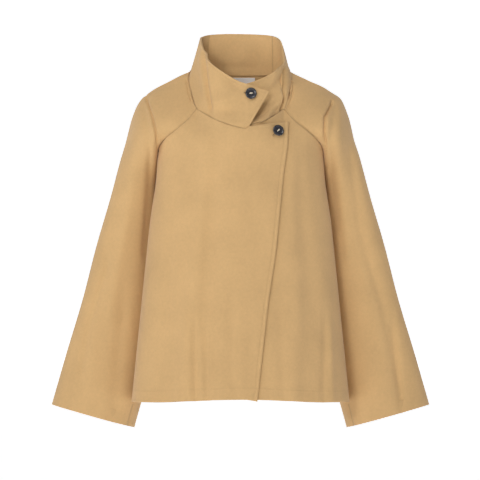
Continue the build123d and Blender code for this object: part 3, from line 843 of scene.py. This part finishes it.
# ---- Funnel collar: double twill with a rolled, topstitched edge -----------------------------------
# It stands 90 mm from the neck seam. The right side runs across the throat into a flap that the
# top button holds over the left side; unbuttoned, the flap turns back about a slanting line.
COLLAR, COLLAR_HIGH, COLLAR_STITCH = 3.6, 92, 5
TOP_LEFT = [(x, collar_front_y(x, z), z) for x, z in [(0, 35), (30, 44), (57, 55), (77, 67)]]
TOP_LEFT += [(88, -8, 82), (84, 17, 109), (79, 38, 128), (64, 52, 136), (32, 59, 139),
             (0, 60, 140)]
TOP_LEFT.reverse()
TOP_RIGHT = [(x, collar_front_y(x, z), z) for x, z in [(0, 41), (-32, 58), (-62, 81)]]
TOP_RIGHT += [(-73, -22, 99), (-79, 0, 118), (-81, 18, 128), (-79, 40, 133), (-62, 54, 138),
              (-31, 59, 140), (0, 60, 140)]
TOP_RIGHT.reverse()
NECK_RING_RIGHT = [(-x, y, z) for x, y, z in NECK_RING[:6]]
NECK_RING_RIGHT += [(x, collar_front_y(x, z), z) for x, z in ((-87, -12), (-57, -31), (-30, -42),
                                                              (0, -51))]
SIDE_T = 2 / 9
FLAP_LOW = [(-30, -42), (-15, -47), (0, -51.5), (14, -54)]
FLAP_TOP = [(-32, 58), (-6, 43), (28, 31), (56, 21)]


def wall_point(left, t, height):
    a = Vector(along(NECK_RING if left else NECK_RING_RIGHT, t))
    b = Vector(along(TOP_LEFT if left else TOP_RIGHT, t))
    return a.lerp(b, height)


def collar_back_place(u, v):
    # from the end under the flap round the left side and the back to the right side seam
    t = mix(1.1, -SIDE_T, u)
    if t < 0:
        return wall_point(False, -t, v)
    if t <= 1:
        return wall_point(True, t, v)
    x, z = -(t - 1) * 150, mix(-49, 35, v)
    return Vector((x, collar_front_y(x, z), z))


def collar_right_place(u, v):
    # from the right side seam round the front to the flap's free edge
    split = 0.60
    if u < split:
        p = wall_point(False, mix(SIDE_T, 8 / 9, u / split), v)
        return Vector((p.x, p.y - lap_lift(p.x), p.z))
    s = (u - split) / (1 - split)
    x, z = Vector(along(FLAP_LOW, s)).lerp(Vector(along(FLAP_TOP, s)), v)
    return Vector((x, collar_front_y(x, z) - lap_lift(x), z))


def free_edge(p):
    """Distance from the flap's slanting free edge."""
    tip, foot = Vector((56, 21)), Vector((14.5, -47))
    way = (tip - foot).normalized()
    off = Vector((p.x, p.z)) - foot
    return way.y * -off.x + way.x * off.y


def from_joint(p):
    """0 on the seam that joins the collar's two pieces behind the right shoulder, 1 away from it."""
    rise = (p.z - 70) / 58
    return ease((math.hypot(p.x - mix(-93, -81, rise), p.y - mix(30, 18, rise)) - 2) / 24)


def collar_back_fall(p):
    h = 1.6 * wander(p, 45, 4.0) * from_joint(p)
    if p.y > 15:
        # the back stands in slack, shallow drags
        h += (1.8 * wander(p, 26, 1.2) - 1.6 * hump(p.z, 96, 10) * hump(p.x, -62, 16)) * from_joint(p)
        return h + 1.4 * hump(p.z, 74, 9) * hump(p.x, -8, 46)
    fold = [(89, 64), (89.4, 40), (86.6, 12), (82.6, -14)]
    h += crease(p.x, p.z, fold, 5.4, 2.4, 12) + crease(p.x + 9, p.z, fold, 2.4, 9, 12)
    h += crease(p.x - 7, p.z, fold, -1.6, 4.0, 10)
    if 0 < p.x < 86:
        # drawn in under the flap, with one soft roll slanting down to the neck seam
        rise = ease((p.z + 44) / 26)
        h -= 7.0 * rise * ease((86 - p.x) / 26)
        h += 5.4 * hump(p.z + 7 + (71 - p.x) * 1.15, 0, 10) * ease((p.x - 14) / 20)
        h -= 5.5 * hump(p.z - 28 + (71 - p.x) * 1.2, 0, 14) * ease((p.x - 20) / 16)
    return h


def collar_right_fall(p):
    h = 1.4 * wander(p, 45, 8.0) + 0.5 * wander(p, 18, 3.0)
    # the bunched cloth where the flap's fold begins
    h += crease(p.x + p.y * 0.5, p.z, [(-62, 112), (-57, 74)], 3.0, 3.2, 14) * ease((p.y - 2) / 12)
    h += crease(p.x + p.y * 0.5, p.z, [(-53, 106), (-48, 72)], -2.4, 3.2, 14) * ease((p.y - 2) / 12)
    if p.y > 12:
        return h * from_joint(p)
    h += crease(p.x, p.z, [(-74, 96), (-69, 50), (-65, 18), (-61, -8)], 5.0, 3.4, 16) * ease(-p.y / 14)
    h += crease(p.x + 8, p.z, [(-74, 96), (-69, 50), (-65, 18)], -1.8, 5, 16) * ease(-p.y / 14)
    # slack in the flap: a hollow under its top edge, a roll, and a hollow over the neck seam
    h -= 3.4 * hump(p.z - 40 + (p.x + 17) * 0.6, 0, 11) * hump(p.x, -17, 20)
    h += 2.2 * hump(p.z - 14 - (p.x + 20) * 0.45, 0, 11) * hump(p.x, -20, 34)
    h -= 4.4 * hump(p.z, -17, 10) * hump(p.x, -32, 26)
    h += 1.4 * hump(p.x, -10, 22) * hump(p.z, -41, 6)
    button = math.dist((p.x, p.z), TOP_BUTTON)
    h -= 1.4 * hump(button, 0, 16)
    if p.x > -12 and p.y < -60:
        h += 3.6 * ease((20 - free_edge(p)) / 20) * ease((p.z + 46) / 20)
        h -= 1.0 * hump(p.z, -52, 3) * hump(p.x, 0, 16)
    return h


def collar_marks(u, v, p):
    seams = [abs(abs(p.x) - 66) if p.y > 30 else FAR, v * COLLAR_HIGH]
    return (1 - v) * COLLAR_HIGH - COLLAR_STITCH, p.x, min(seams)


def flap_marks(u, v, p):
    top = (1 - v) * COLLAR_HIGH - COLLAR_STITCH
    edge = free_edge(p) - COLLAR_STITCH if p.x > -12 and p.y < -60 else FAR
    inside = min(top, edge) if min(top, edge) < 0 else min(abs(top), abs(edge))
    seam = v * COLLAR_HIGH if p.x < 6 or p.y > 0 else FAR
    return inside, p.z if abs(edge) < abs(top) else p.x, seam


collar_back = panel("collar_back_and_left", collar_back_place, 420, 64, collar_marks,
                    fall=collar_back_fall)
collar_back.data.materials.append(tan_twill)
# the second material, on the inner faces, is a paler copy of the twill: painted light
collar_back.data.materials.append(cotton("tan_twill_collar_inside_painted_light", TAN, 1.22))
collar_right = panel("collar_right_and_flap", collar_right_place, 340, 64, flap_marks,
                     fall=collar_right_fall)
collar_right.data.materials.append(tan_twill)
for wall, nodes, cut in (
        (collar_back, ("collar_back", "inner_collar_back", "collar_left", "inner_collar_left"),
         (0.42, 0.095)),
        (collar_right, ("collar_right", "inner_collar_right", "collar_flap", "flap_facing",
                        "top_buttonhole"), (0.26, 0.105))):
    thickness(wall, COLLAR, 1.5)
    # the inner layer is a paler copy of the twill: painted light, to offset the shade it stands in
    wall.modifiers["cloth"].material_offset = 1 if wall is collar_back else 0
    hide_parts(*nodes)
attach(collar_back, "torso")
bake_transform(collar_right)

# ---- Buttons: dark, dished, two-hole coat buttons, each sewn on a cream thread shank ----------------
# The top one holds the collar's flap and the lower one the corner of the lap. Each has a turned
# rim, a shallow dish, and its thread bar lies in the dish between the eyes.
EYE_SPACING, EYE_R = 6.0, 0.95


def cloth_spot(surface, x, z, outward):
    """A frame on the cloth: origin moved outward, and its across, up and out directions."""
    slope_x = (surface(x + 1, z) - surface(x - 1, z)) / 2
    slope_z = (surface(x, z + 1) - surface(x, z - 1)) / 2
    out = Vector((slope_x, -1, slope_z)).normalized()
    across = Vector((1, slope_x, 0)).normalized()
    up = out.cross(across)
    return Vector((x, surface(x, z), z)) + out * outward, across, up, out


horn = two_tone("dark_button", ("ShaderNodeTexNoise", None, {"Scale": 160, "Detail": 4}),
                (0.010, 0.011, 0.016), (0.040, 0.038, 0.048), (0.15, 0.0003),
                {"Roughness": 0.24, "Coat Weight": 0.6, "Coat Roughness": 0.2})
cream = two_tone("cream_thread", ("ShaderNodeTexWave", "DIAGONAL", {"Scale": 900}),
                 (0.70, 0.58, 0.40), (0.92, 0.84, 0.68), (0.6, 0.0002),
                 {"Roughness": 0.7, "Sheen Weight": 0.3})


def finish_piece(made, name, material):
    """Turns a bmesh in metres into a named, smooth piece with one material."""
    bmesh.ops.recalc_face_normals(made, faces=made.faces)
    mesh = bpy.data.meshes.new(name)
    made.to_mesh(mesh)
    made.free()
    mesh.polygons.foreach_set("use_smooth", [True] * len(mesh.polygons))
    mesh.materials.append(material)
    piece = bpy.data.objects.new(name, mesh)
    bpy.context.collection.objects.link(piece)
    return piece


def strand(points, radius, name):
    """A short round thread through points, in mm."""
    curve = bpy.data.curves.new(name, "CURVE")
    curve.dimensions = "3D"
    curve.bevel_depth = radius * 0.001
    curve.bevel_resolution = 3
    curve.use_fill_caps = True
    line = curve.splines.new("NURBS")
    line.points.add(len(points) - 1)
    for knot, p in zip(line.points, points):
        knot.co = (p[0] * 0.001, p[1] * 0.001, p[2] * 0.001, 1)
    line.order_u = 3
    line.use_endpoint_u = True
    maker = bpy.data.objects.new(name, curve)
    mesh = bpy.data.meshes.new_from_object(maker)
    bpy.data.objects.remove(maker)
    return mesh


def sew_button(name, surface, x, z, bar_angle, body):
    origin, across, up, out = cloth_spot(surface, x, z, LIFT + 1.0)
    # profile from the middle of the back, round the rim, to the middle of the dish
    profile = [(0, 0.0), (9.2, 0.0), (10.6, 0.35), (11.3, 1.1), (11.5, 2.0), (11.2, 2.9),
               (10.5, 3.45), (9.7, 3.6), (8.9, 3.4), (8.3, 2.95), (7.2, 2.7), (4.0, 2.6), (0, 2.6)]
    turned = bmesh.new()
    knots = [turned.verts.new((r, 0, h)) for r, h in profile]
    edges = [turned.edges.new(pair) for pair in zip(knots, knots[1:])]
    bmesh.ops.spin(turned, geom=knots + edges, cent=(0, 0, 0), axis=(0, 0, 1),
                   angle=2 * math.pi, steps=64, use_merge=True)
    bmesh.ops.remove_doubles(turned, verts=turned.verts, dist=1e-4)
    disc = finish_piece(turned, name, horn)
    drill = bmesh.new()
    for way in (-1, 1):
        made = bmesh.ops.create_cone(drill, cap_ends=True, segments=20, radius1=EYE_R,
                                     radius2=EYE_R, depth=12)
        bmesh.ops.translate(drill, verts=made["verts"], vec=(way * EYE_SPACING / 2, 0, 2))
    cutter = finish_piece(drill, name + "_drill", horn)
    eyes = disc.modifiers.new("eyes", "BOOLEAN")
    eyes.object = cutter
    eyes.solver = "EXACT"
    bpy.context.view_layer.update()
    drilled = bpy.data.meshes.new_from_object(
        disc.evaluated_get(bpy.context.evaluated_depsgraph_get()))
    disc.modifiers.clear()
    disc.data = drilled
    bpy.data.objects.remove(cutter)
    turn = math.radians(bar_angle)
    bar = across * math.cos(turn) + up * math.sin(turn)
    cross = out.cross(bar)
    for vert in disc.data.vertices:
        p = origin + bar * vert.co.x + cross * vert.co.y + out * vert.co.z
        vert.co = p * 0.001
    disc.data.polygons.foreach_set("use_smooth", [True] * len(disc.data.polygons))
    bevel = disc.modifiers.new("eye_edges", "BEVEL")
    bevel.width = 0.00015
    bevel.segments = 2
    bevel.limit_method = "ANGLE"
    bevel.angle_limit = math.radians(50)
    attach(disc, body)
    sewn = bmesh.new()
    half = EYE_SPACING / 2
    for k in range(4):
        off = (k - 1.5) * 0.52
        line = [(-half, off * 0.5, -0.6), (-half, off * 0.6, 2.4), (-half * 0.8, off, 3.25),
                (0, off * 1.15, 3.45), (half * 0.8, off, 3.25), (half, off * 0.6, 2.4),
                (half, off * 0.5, -0.6)]
        placed = [origin + bar * a + cross * b + out * c for a, b, c in line]
        sewn.from_mesh(strand(placed, 0.36, name + "_strand"))
    for k in range(9):
        turn_ = k * 2 * math.pi / 4.5
        ring = [(1.15 * math.cos(turn_ + a), 1.15 * math.sin(turn_ + a), -0.4 - 0.55 * k)
                for a in (0, 1.05, 2.1, 3.15, 4.2, 5.25, 6.3)]
        placed = [origin + bar * a + cross * b + out * c for a, b, c in ring]
        sewn.from_mesh(strand(placed, 0.32, name + "_shank"))
    thread = finish_piece(sewn, name + "_sewing", cream)
    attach(thread, body)
    return disc, thread


top_disc, top_sewing = sew_button("top_button_disc", collar_front_y, *TOP_BUTTON, 0, "torso")
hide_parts("top_button")
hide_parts("top_button_thread")
low_disc, low_sewing = sew_button("front_button_disc", front_y, *LOW_BUTTON, 40, "torso")
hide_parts("front_button")
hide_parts("front_button_thread")

# ---- Buttonholes: worked slits in the flap and in the lap, edged with tan thread ---------------------
# The end of each shows past its button. The stitches are small loops laid side by side.
hole_thread = cotton("hole_thread", TAN, 0.80)
slit_dark = bpy.data.materials.new("slit_shadow")
slit_dark.use_nodes = True
slit_shader = slit_dark.node_tree.nodes["Principled BSDF"]
slit_shader.inputs["Base Color"].default_value = (0.06, 0.035, 0.015, 1)
slit_shader.inputs["Roughness"].default_value = 0.95


def work_buttonhole(name, surface, x, z, angle, body):
    worked = bmesh.new()
    turn = math.radians(angle)
    for k in range(64):
        s = k / 64 * 2 * math.pi
        lx = 12.0 * math.copysign(abs(math.cos(s)) ** 0.5, math.cos(s)) + 2.2
        ly = 1.25 * math.copysign(abs(math.sin(s)) ** 0.5, math.sin(s))
        px = x + lx * math.cos(turn) - ly * math.sin(turn)
        pz = z + lx * math.sin(turn) + ly * math.cos(turn)
        origin, across, up, out = cloth_spot(surface, px, pz, LIFT)
        made = bmesh.ops.create_uvsphere(worked, u_segments=8, v_segments=6, radius=1.0)
        for vert in made["verts"]:
            a, b, c = vert.co
            local_x = a * 0.45 * math.cos(turn) - b * 0.95 * math.sin(turn)
            local_z = a * 0.45 * math.sin(turn) + b * 0.95 * math.cos(turn)
            vert.co = (origin + across * local_x + up * local_z + out * (c * 0.32 + 0.05)) * 0.001
    piece = finish_piece(worked, name, hole_thread)
    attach(piece, body)
    slit = bmesh.new()
    bmesh.ops.create_grid(slit, x_segments=16, y_segments=2, size=0.5)
    for vert in slit.verts:
        lx, ly = vert.co.x * 22 + 2.2, vert.co.y * 1.3
        px = x + lx * math.cos(turn) - ly * math.sin(turn)
        pz = z + lx * math.sin(turn) + ly * math.cos(turn)
        origin, across, up, out = cloth_spot(surface, px, pz, LIFT + 0.12)
        vert.co = origin * 0.001
    gap = finish_piece(slit, name + "_slit", slit_dark)
    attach(gap, body)
    return piece


work_buttonhole("top_buttonhole_stitches", collar_front_y, *TOP_BUTTON, 172, "throat_flap")
work_buttonhole("front_buttonhole_stitches", front_y, *LOW_BUTTON, 219, "front_lap")
